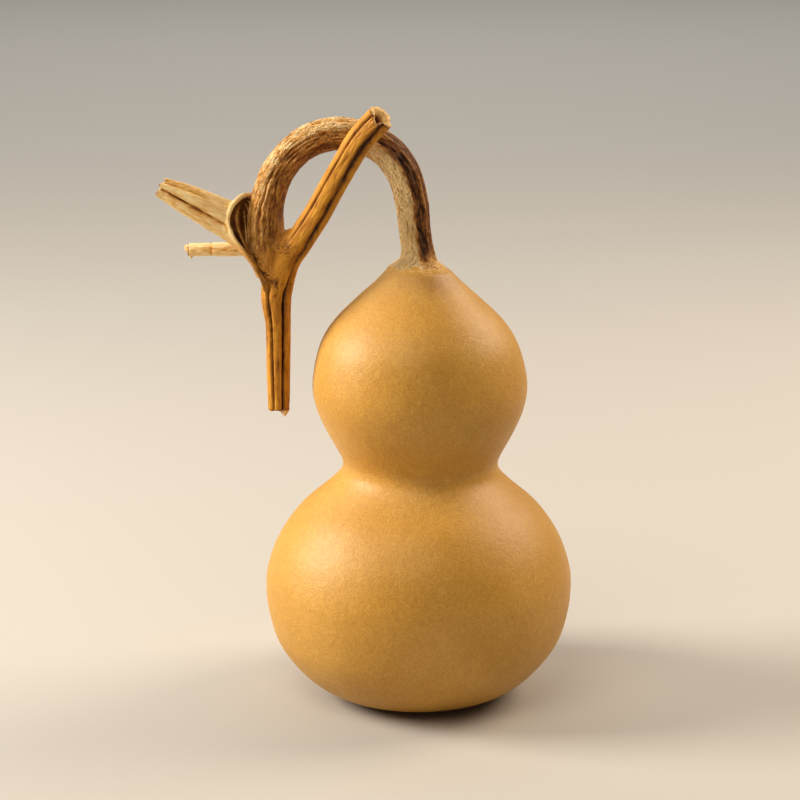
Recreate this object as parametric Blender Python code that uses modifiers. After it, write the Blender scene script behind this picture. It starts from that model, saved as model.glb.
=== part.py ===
"""Dried double-bellied bottle gourd standing on its base, with its curled stalk and a cut length of vine.

The gourd's axis is +Z and the middle of its base is the origin. The stem leans to -X.
Every piece grew together with its neighbours, so limbs meet in fitted joints with a hairline gap.
"""

import math

import bmesh
import bpy
from mathutils import Vector

MM = 0.001
GAP = 0.3 * MM  # hairline between grown-together pieces

# Gourd body: radius and height of each landmark
BODY_HEIGHT = 147.0 * MM
BASE_RADIUS = 18.0 * MM
BELLY_RADIUS = 51.7 * MM
BELLY_AT = 37.5 * MM
WAIST_RADIUS = 25.7 * MM
WAIST_AT = 79.5 * MM
HEAD_RADIUS = 35.7 * MM
HEAD_AT = 108.0 * MM
CROWN_RADIUS = 10.0 * MM
BODY_STEPS = 48
OUTLINE_SAMPLES = 2

# Limbs: half width of each
STALK_RADIUS = 5.4 * MM
STALK_FOOT_RADIUS = 9.2 * MM
STALK_NODE_RADIUS = 6.2 * MM
VINE_RADIUS = 4.4 * MM
LEAF_TIP_RADIUS = 3.7 * MM
LEAF_ROOT_RADIUS = 7.4 * MM
SHOOT_RADIUS = 2.15 * MM
PITH_RADIUS = 1.7 * MM
PITH_DEPTH = 8.0 * MM
ROUTE_SAMPLES = 3

# Routes: (x, y, z) of the limb's middle in millimetres, and its half width there
VINE_ROUTE = (
    ((-46.6, 0.0, 97.8), 0.82 * VINE_RADIUS),
    ((-46.6, 0.0, 111.0), 0.91 * VINE_RADIUS),
    ((-46.6, 0.0, 127.0), VINE_RADIUS),
    ((-46.9, 0.0, 138.0), 1.20 * VINE_RADIUS),
    ((-44.3, -1.0, 148.2), 1.18 * VINE_RADIUS),
    ((-38.9, -3.5, 155.9), 1.02 * VINE_RADIUS),
    ((-32.8, -7.0, 165.8), VINE_RADIUS),
    ((-26.1, -11.2, 178.3), 0.98 * VINE_RADIUS),
    ((-19.0, -15.3, 190.5), VINE_RADIUS),
    ((-12.2, -18.0, 198.2), 1.07 * VINE_RADIUS),
)
STALK_ROUTE = (
    ((-0.3, 0.0, 145.8), 1.2 * STALK_FOOT_RADIUS),
    ((-0.4, 0.0, 149.0), 0.72 * STALK_FOOT_RADIUS),
    ((-0.9, 0.0, 153.5), STALK_RADIUS),
    ((-2.0, 0.0, 166.0), STALK_RADIUS),
    ((-5.8, 0.0, 178.6), STALK_RADIUS),
    ((-13.2, 0.0, 186.7), STALK_RADIUS),
    ((-25.0, 0.0, 190.3), STALK_RADIUS),
    ((-36.2, 0.0, 187.8), STALK_RADIUS),
    ((-45.2, 0.0, 179.2), STALK_RADIUS),
    ((-49.6, 0.0, 167.5), 0.92 * STALK_NODE_RADIUS),
    ((-50.2, 0.0, 155.5), STALK_NODE_RADIUS),
    ((-48.6, 0.0, 143.5), 0.8 * STALK_NODE_RADIUS),
)
LEAF_ROUTE = (
    ((-85.0, -2.0, 174.0), LEAF_TIP_RADIUS),
    ((-76.6, -2.0, 169.8), 0.68 * LEAF_ROOT_RADIUS),
    ((-69.7, -2.0, 166.1), 0.82 * LEAF_ROOT_RADIUS),
    ((-62.2, -2.0, 161.6), LEAF_ROOT_RADIUS),
    ((-55.5, -2.0, 154.5), LEAF_ROOT_RADIUS),
    ((-52.0, -2.0, 147.5), 0.7 * LEAF_ROOT_RADIUS),
)
SHOOT_ROUTE = (
    ((-76.1, 3.0, 151.4), SHOOT_RADIUS),
    ((-67.5, 3.0, 151.5), 0.86 * SHOOT_RADIUS),
    ((-60.0, 2.6, 151.6), SHOOT_RADIUS),
    ((-51.0, 1.5, 151.8), SHOOT_RADIUS),
)


def clear_scene():
    for obj in list(bpy.data.objects):
        bpy.data.objects.remove(obj, do_unlink=True)


def new_collection(name):
    collection = bpy.data.collections.new(name)
    bpy.context.scene.collection.children.link(collection)
    return collection


def new_material(name, colour, roughness):
    material = bpy.data.materials.new(name)
    material.use_nodes = True
    shader = material.node_tree.nodes["Principled BSDF"]
    shader.inputs["Base Color"].default_value = (*colour, 1.0)
    shader.inputs["Roughness"].default_value = roughness
    shader.inputs["Metallic"].default_value = 0.0
    return material


def hide(helper):
    helper.hide_render = True
    helper.display_type = "WIRE"


def smooth_through(knots, samples):
    """Catmull-Rom points through the knots; every knot is kept."""
    ends = [2 * knots[0] - knots[1], *knots, 2 * knots[-1] - knots[-2]]
    points = []
    for before, start, end, after in zip(ends, ends[1:], ends[2:], ends[3:]):
        for step in range(samples):
            t = step / samples
            points.append(0.5 * (
                2 * start
                + (end - before) * t
                + (2 * before - 5 * start + 4 * end - after) * t**2
                + (3 * start - before - 3 * end + after) * t**3
            ))
    points.append(knots[-1].copy())
    return points


# Gourd body


def bulge(radius, height, shares):
    """Outline knots of one bulge: each share of its radius, at an offset from its height."""
    return [Vector((share * radius, height + offset * MM)) for share, offset in shares]


def body_outline():
    """Outline from the middle of the crown down to the middle of the base, as (radius, height)."""
    head = bulge(HEAD_RADIUS, HEAD_AT, (
        (0.31, 37.5), (0.40, 33.0), (0.60, 26.5), (0.80, 19.5), (0.94, 11.0), (1.0, 0.0), (0.94, -12.0)))
    waist = [
        Vector((WAIST_RADIUS + 2.3 * MM, WAIST_AT + 5.5 * MM)),
        Vector((WAIST_RADIUS, WAIST_AT)),
        Vector((WAIST_RADIUS + 5.0 * MM, WAIST_AT - 7.2 * MM)),
    ]
    belly = bulge(BELLY_RADIUS, BELLY_AT, (
        (0.795, 25.5), (0.925, 15.5), (1.0, 0.0), (0.935, -17.5), (0.805, -27.0), (0.595, -35.3)))
    side = smooth_through([*head, *waist, *belly, Vector((BASE_RADIUS, 0.0))], OUTLINE_SAMPLES)
    return [Vector((0.0, BODY_HEIGHT)), Vector((CROWN_RADIUS, BODY_HEIGHT)), *side, Vector((0.0, 0.0))]


def make_gourd_body(collection, material):
    points = [(radius, 0.0, height) for radius, height in body_outline()]
    mesh = bpy.data.meshes.new("gourd_body")
    mesh.from_pydata(points, [(i, i + 1) for i in range(len(points) - 1)], [])
    mesh.materials.append(material)
    body = bpy.data.objects.new("gourd_body", mesh)
    collection.objects.link(body)
    turn = body.modifiers.new("Turn", "SCREW")
    turn.axis = "Z"
    turn.angle = math.tau
    turn.screw_offset = 0.0
    turn.steps = turn.render_steps = BODY_STEPS
    turn.use_merge_vertices = True
    turn.merge_threshold = 0.00001
    turn.use_smooth_shade = True
    return body


# Limbs


def ribbed_section(collection, name, ribs, depth, flatness=1.0):
    """Closed outline of unit radius with rounded ribs, to be swept along a limb."""
    curve = bpy.data.curves.new(name, "CURVE")
    curve.dimensions = "2D"
    count = 4 * ribs
    spline = curve.splines.new("POLY")
    spline.points.add(count - 1)
    spline.use_cyclic_u = True
    for i, point in enumerate(spline.points):
        angle = math.tau * i / count
        radius = 1.0 - depth * (0.5 - 0.5 * math.cos(ribs * angle))
        point.co = (flatness * radius * math.cos(angle), radius * math.sin(angle), 0.0, 1.0)
    section = bpy.data.objects.new(name, curve)
    collection.objects.link(section)
    hide(section)
    return section


def weld(mesh):
    """Joins a swept curve's loose caps to its sides."""
    bm = bmesh.new()
    bm.from_mesh(mesh)
    bmesh.ops.remove_doubles(bm, verts=bm.verts, dist=0.00001)
    bmesh.ops.recalc_face_normals(bm, faces=bm.faces)
    bm.to_mesh(mesh)
    bm.free()


def make_limb(collection, name, route, section, twist="MINIMUM", thicker=0.0):
    """Sweeps the section along the route and returns it as one closed mesh object."""
    knots = smooth_through([Vector((*place, radius)) for place, radius in route], ROUTE_SAMPLES)
    curve = bpy.data.curves.new(name, "CURVE")
    curve.dimensions = "3D"
    curve.twist_mode = twist
    curve.bevel_mode = "OBJECT"
    curve.bevel_object = section
    curve.use_fill_caps = True
    spline = curve.splines.new("POLY")
    spline.points.add(len(knots) - 1)
    for point, knot in zip(spline.points, knots):
        point.co = (*(knot.xyz * MM), 1.0)
        point.radius = knot.w + thicker
    sweep = bpy.data.objects.new(name + "_sweep", curve)
    bpy.context.scene.collection.objects.link(sweep)
    bpy.context.view_layer.update()
    graph = bpy.context.evaluated_depsgraph_get()
    mesh = bpy.data.meshes.new_from_object(sweep.evaluated_get(graph))
    weld(mesh)
    mesh.shade_smooth()
    mesh.set_sharp_from_angle(angle=math.radians(40))
    limb = bpy.data.objects.new(name, mesh)
    limb.matrix_world = sweep.matrix_world
    collection.objects.link(limb)
    bpy.data.objects.remove(sweep, do_unlink=True)
    return limb


def paint(limb, material):
    limb.data.materials.clear()
    limb.data.materials.append(material)


# Cutters


def mesh_cutter(collection, name, bm):
    mesh = bpy.data.meshes.new(name)
    bm.to_mesh(mesh)
    bm.free()
    cutter = bpy.data.objects.new(name, mesh)
    collection.objects.link(cutter)
    hide(cutter)
    return cutter


def crown_cutter(collection):
    """Block that trims the stalk's foot flat, a hairline above the gourd's crown."""
    width, depth = 60.0 * MM, 20.0 * MM
    bm = bmesh.new()
    bmesh.ops.create_cube(bm, size=1.0)
    bmesh.ops.scale(bm, verts=bm.verts, vec=(width, width, depth))
    cutter = mesh_cutter(collection, "crown_room", bm)
    cutter.location = (0.0, 0.0, BODY_HEIGHT + GAP - depth / 2)
    return cutter


def pith_cutter(collection, name, end, further_in):
    """Tapered hollow centred on a cut end, so that half of its length runs into the limb."""
    bm = bmesh.new()
    bmesh.ops.create_cone(
        bm, cap_ends=True, segments=12, radius1=1.5 * PITH_RADIUS, radius2=0.5 * PITH_RADIUS, depth=2 * PITH_DEPTH)
    cutter = mesh_cutter(collection, name, bm)
    cutter.location = Vector(end) * MM
    cutter.rotation_mode = "QUATERNION"
    cutter.rotation_quaternion = (Vector(further_in) - Vector(end)).to_track_quat("Z", "Y")
    return cutter


def cut(piece, *cutters):
    for cutter in cutters:
        boolean = piece.modifiers.new("Fit to " + cutter.name, "BOOLEAN")
        boolean.operation = "DIFFERENCE"
        boolean.solver = "EXACT"
        boolean.object = cutter


def main():
    clear_scene()
    parts = new_collection("bottle_gourd")
    cutters = new_collection("cutters")

    make_gourd_body(parts, new_material("dried_gourd_skin", (0.62, 0.33, 0.08), 0.48))

    rounded = ribbed_section(cutters, "five_rounded_ribs", 5, 0.10)
    angular = ribbed_section(cutters, "five_deep_ribs", 5, 0.18)
    flattened = ribbed_section(cutters, "flattened_ribs", 4, 0.10, flatness=0.62)
    twig = ribbed_section(cutters, "round_twig", 3, 0.04)

    vine = make_limb(parts, "vine_stem", VINE_ROUTE, angular)
    stalk = make_limb(parts, "fruit_stalk", STALK_ROUTE, rounded)
    leaf = make_limb(parts, "leaf_stalk_stub", LEAF_ROUTE, flattened, twist="Z_UP")
    shoot = make_limb(parts, "side_shoot_stub", SHOOT_ROUTE, twig, twist="Z_UP")
    paint(vine, new_material("dry_vine", (0.50, 0.28, 0.09), 0.72))
    paint(stalk, new_material("dry_stalk", (0.52, 0.33, 0.15), 0.75))
    paint(leaf, new_material("dry_leaf_stalk", (0.58, 0.38, 0.18), 0.75))
    paint(shoot, new_material("dry_shoot", (0.66, 0.47, 0.26), 0.75))

    # A limb's room is the limb itself, thicker by the gap; between ribs it has to be thicker still.
    vine_room = make_limb(cutters, "vine_room", VINE_ROUTE, angular, thicker=1.3 * GAP)
    stalk_room = make_limb(cutters, "stalk_room", STALK_ROUTE, rounded, thicker=1.2 * GAP)
    leaf_room = make_limb(cutters, "leaf_room", LEAF_ROUTE, flattened, twist="Z_UP", thicker=1.7 * GAP)
    for room in (vine_room, stalk_room, leaf_room):
        hide(room)
    cut(stalk, vine_room, crown_cutter(cutters))
    cut(leaf, vine_room, stalk_room)
    cut(shoot, vine_room, stalk_room, leaf_room)
    cut(
        vine,
        pith_cutter(cutters, "lower_pith", VINE_ROUTE[0][0], VINE_ROUTE[1][0]),
        pith_cutter(cutters, "upper_pith", VINE_ROUTE[-1][0], VINE_ROUTE[-2][0]),
    )


main()
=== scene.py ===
# A dried bottle gourd with its curled stalk and a cut length of vine.
# Sizes are in metres; routes and outlines are written in millimetres and scaled by mm.
import math

import bmesh
import bpy
import numpy as np
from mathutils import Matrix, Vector, kdtree, noise


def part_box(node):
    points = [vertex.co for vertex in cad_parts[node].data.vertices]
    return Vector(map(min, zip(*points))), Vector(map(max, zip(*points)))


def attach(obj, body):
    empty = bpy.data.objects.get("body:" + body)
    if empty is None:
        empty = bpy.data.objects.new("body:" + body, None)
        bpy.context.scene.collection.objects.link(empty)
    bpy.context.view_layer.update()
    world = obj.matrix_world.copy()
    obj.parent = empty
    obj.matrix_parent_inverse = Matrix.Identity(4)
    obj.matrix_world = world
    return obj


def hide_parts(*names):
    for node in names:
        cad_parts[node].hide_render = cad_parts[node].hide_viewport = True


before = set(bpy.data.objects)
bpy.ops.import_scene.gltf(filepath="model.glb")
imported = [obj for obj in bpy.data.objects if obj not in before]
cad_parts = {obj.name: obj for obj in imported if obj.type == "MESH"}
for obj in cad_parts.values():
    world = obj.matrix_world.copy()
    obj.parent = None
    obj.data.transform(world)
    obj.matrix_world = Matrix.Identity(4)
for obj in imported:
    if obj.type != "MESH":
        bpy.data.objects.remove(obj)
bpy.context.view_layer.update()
mm = 0.001


# Camera, lights and floor

cameraSettings = {
    "aim": (-6.2, 0.0, 101.2),  # mm
    "elevation": 14.0,          # degrees above the floor
    "distance": 846.7,          # mm
    "lens": 114.3,              # mm
    "sensor": 36.0,             # mm
    "nearClip": 10.0,           # mm
}


def addCamera(settings):
    tilt = math.radians(settings["elevation"])
    away = Vector((0.0, -math.cos(tilt), math.sin(tilt))) * settings["distance"]
    place = (Vector(settings["aim"]) + away) * mm
    bpy.ops.object.camera_add(location=place, rotation=(math.pi / 2 - tilt, 0.0, 0.0))
    camera = bpy.context.object
    camera.data.lens = settings["lens"]
    camera.data.sensor_width = settings["sensor"]
    camera.data.clip_start = settings["nearClip"] * mm
    bpy.context.scene.camera = camera


lightSettings = {
    # place, aim and size in mm, then watts and colour
    "keySoftbox": ((-980, 40, 600), (0, 0, 90), (480, 520), 19.0, "#FFF6E8"),
    "rightSoftbox": ((760, 330, 700), (0, 0, 90), (560, 560), 9.6, "#FFEBD2"),
    "frontFill": ((-280, -620, 960), (0, 0, 90), (700, 600), 5.2, "#FFEFDA"),
    "backdropSoftbox": ((0, 2000, 1500), (0, 2000, 0), (3400, 2000), 34.0, "#FFFDF8"),
}
stageSettings = {
    "floorSize": 16.0,       # metres
    "floorHex": "#B6B2AC",
    "floorRoughness": 0.9,
    "skyHex": "#E4E2DF",
    "skyPower": 0.10,
}


def linearColour(hexCode, alpha=1.0):
    channels = [int(hexCode[i:i + 2], 16) / 255 for i in (1, 3, 5)]
    return (*[c / 12.92 if c <= 0.04045 else ((c + 0.055) / 1.055) ** 2.4 for c in channels], alpha)


def addNode(tree, kind, inputs=None, stops=(), **settings):
    # inputs holds values, or sockets of other nodes to link from; stops are a ramp's places and colours
    made = tree.nodes.new("ShaderNode" + kind)
    for name, value in settings.items():
        setattr(made, name, value)
    for name, value in (inputs or {}).items():
        if isinstance(value, bpy.types.NodeSocket):
            tree.links.new(value, made.inputs[name])
        else:
            made.inputs[name].default_value = value
    for number, (place, hexCode) in enumerate(stops):
        elements = made.color_ramp.elements
        element = elements[number] if number < len(elements) else elements.new(place)
        element.position = place
        element.color = linearColour(hexCode)
    return made


def newMaterial(name):
    material = bpy.data.materials.new(name)
    material.use_nodes = True
    material.node_tree.nodes.clear()
    return material, material.node_tree


def finishMaterial(tree, inputs):
    shader = addNode(tree, "BsdfPrincipled", inputs)
    addNode(tree, "OutputMaterial", {"Surface": shader.outputs["BSDF"]})


def addLights():
    for name, (place, aim, size, power, hexCode) in lightSettings.items():
        place = Vector(place) * mm
        turn = (place - Vector(aim) * mm).to_track_quat("Z", "Y").to_euler()
        bpy.ops.object.light_add(type="AREA", location=place, rotation=turn)
        lamp = bpy.context.object
        lamp.name = name
        lamp.data.shape = "RECTANGLE"
        lamp.data.size, lamp.data.size_y = [side * mm for side in size]
        lamp.data.energy = power
        lamp.data.color = linearColour(hexCode)[:3]


def addStage(settings):
    bpy.ops.mesh.primitive_plane_add(size=settings["floorSize"])
    floor = bpy.context.object
    floor.name = "paleFloor"
    # Matt painted board: an even, pale ground without shine
    material, tree = newMaterial("mattPaintedFloor")
    finishMaterial(tree, {"Base Color": linearColour(settings["floorHex"]),
                          "Roughness": settings["floorRoughness"]})
    floor.data.materials.append(material)
    world = bpy.data.worlds.new("softStudio")
    bpy.context.scene.world = world
    world.use_nodes = True
    background = world.node_tree.nodes["Background"]
    background.inputs["Color"].default_value = linearColour(settings["skyHex"])
    background.inputs["Strength"].default_value = settings["skyPower"]


# Shaping tools

def smoothRows(knots, pieces=24):
    # Catmull-Rom through the rows of knots
    knots = np.array(knots, float)
    ends = np.vstack([2 * knots[0] - knots[1], knots, 2 * knots[-1] - knots[-2]])
    t = np.linspace(0, 1, pieces, endpoint=False)[:, None]
    rows = []
    for a, b, c, d in zip(ends, ends[1:], ends[2:], ends[3:]):
        straight = 2 * b + (c - a) * t
        rows.append(0.5 * (straight + (2 * a - 5 * b + 4 * c - d) * t**2 + (3 * b - a - 3 * c + d) * t**3))
    return np.vstack([*rows, knots[-1:]])


def smoothKnots(knots, spacing):
    # a smooth line through the knots, then points at even steps along it
    rows = smoothRows(knots)
    along = np.concatenate([[0], np.cumsum(np.linalg.norm(np.diff(rows[:, :3], axis=0), axis=1))])
    steps = np.linspace(0, along[-1], max(2, int(round(along[-1] / spacing)) + 1))
    return np.column_stack([np.interp(steps, along, column) for column in rows.T]), steps


def growRings(name, rings):
    # A filled circle, extruded once for each further ring; every new ring is set to its own shape
    rings = [np.asarray(ring, float) for ring in rings]
    count = len(rings[0])
    bpy.ops.object.select_all(action="DESELECT")
    bpy.ops.mesh.primitive_circle_add(vertices=count, radius=0.01, fill_type="NGON")
    piece = bpy.context.object
    piece.name = piece.data.name = name
    bpy.ops.object.mode_set(mode="EDIT")
    bpy.ops.mesh.select_all(action="SELECT")
    for step, ring in enumerate(rings):
        if step:
            bpy.ops.mesh.extrude_region_move()
        cage = bmesh.from_edit_mesh(piece.data)
        cage.verts.ensure_lookup_table()
        for vertex, place in zip(cage.verts[-count:], ring):
            vertex.co = place
        bmesh.update_edit_mesh(piece.data)
    bpy.ops.mesh.select_all(action="SELECT")
    bpy.ops.mesh.normals_make_consistent(inside=False)
    bpy.ops.object.mode_set(mode="OBJECT")
    return piece


def applyModifier(piece, kind, **settings):
    bpy.context.view_layer.objects.active = piece
    modifier = piece.modifiers.new(kind.title(), kind)
    for name, value in settings.items():
        setattr(modifier, name, value)
    bpy.ops.object.modifier_apply(modifier=modifier.name)


def pointsOf(piece):
    points = np.empty(len(piece.data.vertices) * 3, np.float32)
    piece.data.vertices.foreach_get("co", points)
    return points.reshape(-1, 3).astype(float)


def setPoints(piece, points):
    piece.data.vertices.foreach_set("co", np.asarray(points, np.float32).ravel())
    piece.data.update()


def fade(value, low, high):
    # 0 at low, 1 at high, smooth between
    share = np.clip((value - low) / (high - low), 0, 1)
    return share * share * (3 - 2 * share)


def fadeMm(value, edges):
    return fade(value, edges[0] * mm, edges[1] * mm)


# The gourd: two bulges, a waist, a small raised crown, and a blossom scar underneath

gourdSettings = {
    "sides": 72,
    "spacing": 3.2,      # mm between rings
    # outline from the ground up: share of the belly's radius, share of the height
    "outline": (
        (0.348, 0.000), (0.580, 0.0136), (0.716, 0.0408), (0.832, 0.0816), (0.934, 0.136), (0.987, 0.204),
        (0.999, 0.250), (0.990, 0.296), (0.917, 0.367), (0.781, 0.435), (0.602, 0.490), (0.511, 0.524),
        (0.497, 0.548), (0.549, 0.585), (0.612, 0.626), (0.675, 0.680), (0.692, 0.735), (0.640, 0.816),
        (0.546, 0.871), (0.412, 0.918), (0.290, 0.957), (0.245, 0.973),
    ),
    "crown": ((0.217, 0.9840), (0.206, 0.9888), (0.194, 0.9908), (0.150, 0.9912), (0.080, 0.9912),
              (0.010, 0.9912)),
    # blossom scar, from its middle out: radius and height in mm
    "scar": ((0.3, 0.7), (1.2, 0.6), (2.0, 0.9), (2.6, 1.7), (3.6, 1.5), (7.0, 0.6), (12.0, 0.12)),
    # ridges round the crown: how many, how strong, and how far turned
    "crownLobes": ((5, 1.0, 0.6), (3, 0.5, 2.0)),
    "crownLobeDepth": 0.014,
    "lobesOver": (0.93, 0.985),    # share of height where they start and are full
    "crownTilt": 0.035,            # drop towards +X
    "tiltOver": (0.95, 0.995),
    "unevenness": 0.16,            # mm
    "swellSizes": (30, 13),        # mm
    "flatFoot": (1.0, 8.0),        # mm above the ground where the unevenness starts and is full
    # share of height, mm to +X
    "lean": ((0.0, 0.0), (0.3, 0.15), (0.55, 0.7), (0.75, 0.4), (0.94, -0.3), (1.0, 0.1)),
}


def makeGourd(settings):
    low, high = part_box("gourd_body")
    radius, height = (high.x - low.x) / 2, high.z - low.z
    knots = [(r * radius, z * height, 0.0) for r, z in settings["outline"]]
    outline = [(r * mm, z * mm) for r, z in settings["scar"]]
    outline += [(row[0], row[1]) for row in smoothKnots(knots, settings["spacing"] * mm)[0]]
    outline += [(r * radius, z * height) for r, z in settings["crown"]]
    angles = np.linspace(0, 2 * math.pi, settings["sides"], endpoint=False)
    rings = []
    for r, z in outline:
        rings.append(np.column_stack([r * np.cos(angles), r * np.sin(angles), np.full(len(angles), z)]))
    gourd = growRings("gourd", rings)
    applyModifier(gourd, "SUBSURF", levels=2, render_levels=2)

    points = pointsOf(gourd)
    share = points[:, 2] / height
    around = np.arctan2(points[:, 1], points[:, 0])
    lobes = sum(strong * np.cos(count * around + turned) for count, strong, turned in settings["crownLobes"])
    stretch = 1 + settings["crownLobeDepth"] * fade(share, *settings["lobesOver"]) * lobes
    points[:, :2] *= stretch[:, None]
    points[:, 2] -= settings["crownTilt"] * fade(share, *settings["tiltOver"]) * points[:, 0]
    wide, narrow = (size * mm for size in settings["swellSizes"])
    swell = np.array([noise.noise(Vector(p) / wide) + 0.5 * noise.noise(Vector(p) / narrow) for p in points])
    outward = points - np.array([0.0, 0.0, height / 2])
    outward /= np.linalg.norm(outward, axis=1)[:, None]
    offGround = fadeMm(points[:, 2], settings["flatFoot"])
    points += outward * (swell * offGround * settings["unevenness"] * mm)[:, None]
    leanAt, leanBy = zip(*settings["lean"])
    points[:, 0] += np.interp(share, leanAt, leanBy) * mm
    setPoints(gourd, points)
    gourd.data.shade_smooth()
    return gourd


# Limbs: the stalk, the vine, the leaf stalk and the shoot are all rings along a route. Round each ring,
# 0 degrees is the front, and a note by each limb's sections says which side is plus.

def rowDot(a, b):
    return np.sum(a * b, axis=-1)


def unitRows(rows):
    return rows / np.linalg.norm(rows, axis=-1, keepdims=True)


roundSections = ((0.0, ((-180, 1.0), (0, 1.0))), (1.0, ((-180, 1.0), (0, 1.0))))


def layLimb(settings):
    rows, along = smoothKnots(np.array(settings["route"]) * mm, settings["spacing"] * mm)
    path, radius = rows[:, :3], rows[:, 3]
    tangent = unitRows(np.gradient(path, axis=0))
    toFront = np.array([0.0, -1.0, 0.0])
    front = unitRows(toFront - tangent * (tangent @ toFront)[:, None])
    degrees = np.linspace(-180, 180, settings["sides"], endpoint=False)
    places, shapes = zip(*settings.get("sections", roundSections))
    drawn = np.array([np.interp(degrees, *zip(*shape), period=360) for shape in shapes])
    shares = np.column_stack([np.interp(along / along[-1], places, column) for column in drawn.T])
    return {
        "path": path, "along": along, "radius": radius, "tangent": tangent, "front": front,
        "side": np.cross(front, tangent), "degrees": degrees, "shares": shares,
        "flatness": settings.get("flatness", 1.0),
    }


def ringOf(limb, index, scale=1.0, ahead=0.0):
    # one ring of the limb; scale and ahead may be one number or one for each point of the ring
    turn = np.radians(limb["degrees"])
    reach = limb["radius"][index] * limb["shares"][index] * scale
    forward, sideways = np.cos(turn) * limb["flatness"], np.sin(turn)
    out = np.outer(forward, limb["front"][index]) + np.outer(sideways, limb["side"][index])
    return limb["path"][index] + out * reach[:, None] + np.outer(ahead + 0 * turn, limb["tangent"][index])


notchSettings = {
    "wide": 2.2,         # how closely the torn lip's wide notches follow each other
    "narrow": 6.0,
    "narrowDepth": 0.6,  # as a share of the wide ones
}


def cutRings(limb, cut, atEnd):
    # From the last outer ring: over the torn lip, down the hollow, to its floor. 3, 5, 7 and 8 only shift
    # the noise.
    index, way = (len(limb["path"]) - 1, 1) if atEnd else (0, -1)
    wide, narrow, share = notchSettings.values()
    torn = np.array([noise.noise((math.cos(t) * wide + 7 * way, math.sin(t) * wide, 3)) +
                     share * noise.noise((math.cos(t) * narrow, math.sin(t) * narrow + 5 * way, 8))
                     for t in np.radians(limb["degrees"])])
    lip = np.interp(limb["degrees"], *zip(*cut["lip"]), period=360) + torn * cut["ragged"]
    rings = []
    for scale, ahead, raggedness in cut["wall"]:
        rings.append(ringOf(limb, index, scale, way * (ahead + lip * raggedness) * mm))
    return rings if atEnd else rings[::-1]


def limbRings(limb, settings):
    rings = []
    if "startCut" in settings:
        rings += cutRings(limb, settings["startCut"], False)
    rings += [ringOf(limb, index) for index in range(len(limb["path"]))]
    if "endCut" in settings:
        rings += cutRings(limb, settings["endCut"], True)
    return rings


def joinPieces(pieces):
    bpy.ops.object.select_all(action="DESELECT")
    for piece in pieces:
        piece.select_set(True)
    bpy.context.view_layer.objects.active = pieces[0]
    bpy.ops.object.join()
    return pieces[0]


def fuseLimb(piece, voxel):
    # One closed body; the loose crumbs that remeshing leaves at thin edges are dropped
    name = piece.name
    applyModifier(piece, "REMESH", mode="VOXEL", voxel_size=voxel * mm, adaptivity=0.0)
    bpy.ops.mesh.separate(type="LOOSE")
    bodies = sorted(bpy.context.selected_objects, key=lambda body: len(body.data.vertices))
    for crumb in bodies[:-1]:
        bpy.data.objects.remove(crumb)
    bpy.context.view_layer.objects.active = bodies[-1]
    bodies[-1].name = bodies[-1].data.name = name
    return bodies[-1]


def measureOnLimb(limb, points):
    # where each point is on the limb: along it, past its ends, round it, and its depth, which is 0 in the
    # middle and 1 on the surface
    tree = kdtree.KDTree(len(limb["path"]))
    for index, place in enumerate(limb["path"]):
        tree.insert(place, index)
    tree.balance()
    near = np.array([tree.find(point)[1] for point in points])
    offset = points - limb["path"][near]
    forward = rowDot(offset, limb["front"][near]) / limb["flatness"]
    sideways = rowDot(offset, limb["side"][near])
    degrees = np.degrees(np.arctan2(sideways, forward))
    sides = len(limb["degrees"])
    column = np.round((degrees + 180) / 360 * sides).astype(int) % sides
    share = limb["shares"][near, column]
    reach = np.hypot(forward, sideways)
    tangent = limb["tangent"][near]
    onward = rowDot(offset, tangent)
    along = limb["along"][near] + onward
    length = limb["along"][-1]
    return {
        "along": along,
        "length": length,
        "pastEnd": np.abs(along - length / 2) - length / 2,
        "round": np.column_stack([forward, sideways]),
        "degrees": degrees,
        "share": share,
        "depth": reach / (limb["radius"][near] * share),
        "outward": unitRows(offset - tangent * onward[:, None] + 1e-9),
    }


def nearestRow(rings, points):
    rows = np.vstack(rings)
    tree = kdtree.KDTree(len(rows))
    for index, row in enumerate(rows):
        tree.insert(row, index)
    tree.balance()
    return np.array([tree.find(point)[2] for point in points])


def fibreNoise(places, width, length, seed):
    scaled = places / np.array([width * mm, width * mm, length * mm]) + seed
    return np.array([noise.noise(point) for point in scaled])


splitSettings = {
    "ends": 0.05,      # share of the limb's length over which a split runs out
    "beat": 5.0,       # mm between its deep places
    "unevenness": 1.6,
}


def pressSplits(measured, splits):
    # Long splits along a limb: how deep, in mm, each point is pressed in
    ends, beat = splitSettings["ends"], splitSettings["beat"] * mm
    share = np.clip(measured["along"] / measured["length"], 0, 1)
    sink = np.zeros(len(share))
    for number, (width, depth, broken, line) in enumerate(splits):
        places, angles = zip(*line)
        off = (measured["degrees"] - np.interp(share, places, angles) + 180) % 360 - 180
        near = fade(share, places[0] - ends, places[0]) * fade(share, places[-1] + ends, places[-1])
        beats = np.array([noise.noise((along / beat, number * 7.0, 0.0)) for along in measured["along"]])
        whole = np.clip(1 - broken * (0.5 + splitSettings["unevenness"] * beats), 0, 1)
        sink = np.maximum(sink, depth * near * whole * np.exp(-(off / width) ** 2))
    return sink


def storeValues(piece, name, values):
    kind = "FLOAT" if values.ndim == 1 else "FLOAT_VECTOR"
    layer = piece.data.attributes.new(name, kind, "POINT")
    layer.data.foreach_set("value" if values.ndim == 1 else "vector", values.astype(np.float32).ravel())


furrowSettings = {
    "outside": (0.72, 0.9),   # depth where the bark starts and is whole
    # how dark each kind of groove is
    "valley": 0.55,
    "crease": 0.45,
    "swell": 0.15,
    "split": 0.8,
}


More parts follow.
